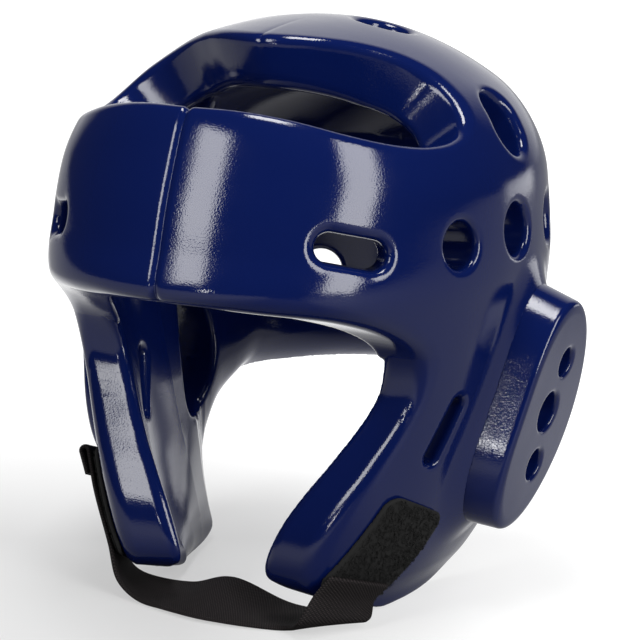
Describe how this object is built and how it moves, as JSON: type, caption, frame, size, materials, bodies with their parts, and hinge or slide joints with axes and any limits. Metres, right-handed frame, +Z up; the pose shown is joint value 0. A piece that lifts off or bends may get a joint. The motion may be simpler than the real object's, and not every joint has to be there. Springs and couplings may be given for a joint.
{
  "type": "martial arts head guard",
  "caption": "Open-face dipped-foam martial arts head guard with a vented crown, moulded ear pads and an elastic chin strap that closes on hook-and-loop cheek patches.",
  "frame": {"origin": "on the floor, under the middle of the guard's length and width", "axes": "+Z up, the face looks along -Y, the wearer's left is +X"},
  "size_m": [0.2444, 0.2336, 0.2507],
  "materials": {
    "vinyl": "glossy dipped vinyl skin on foam, deep blue",
    "loop_pile": "black hook-and-loop pile",
    "elastic": "black woven elastic webbing"
  },
  "bodies": {
    "root": {"shell": "vinyl", "ear_pad_left": "vinyl", "ear_pad_right": "vinyl", "loop_patch_left": "loop_pile", "loop_patch_right": "loop_pile", "chin_strap": "elastic"}
  },
  "joints": []
}
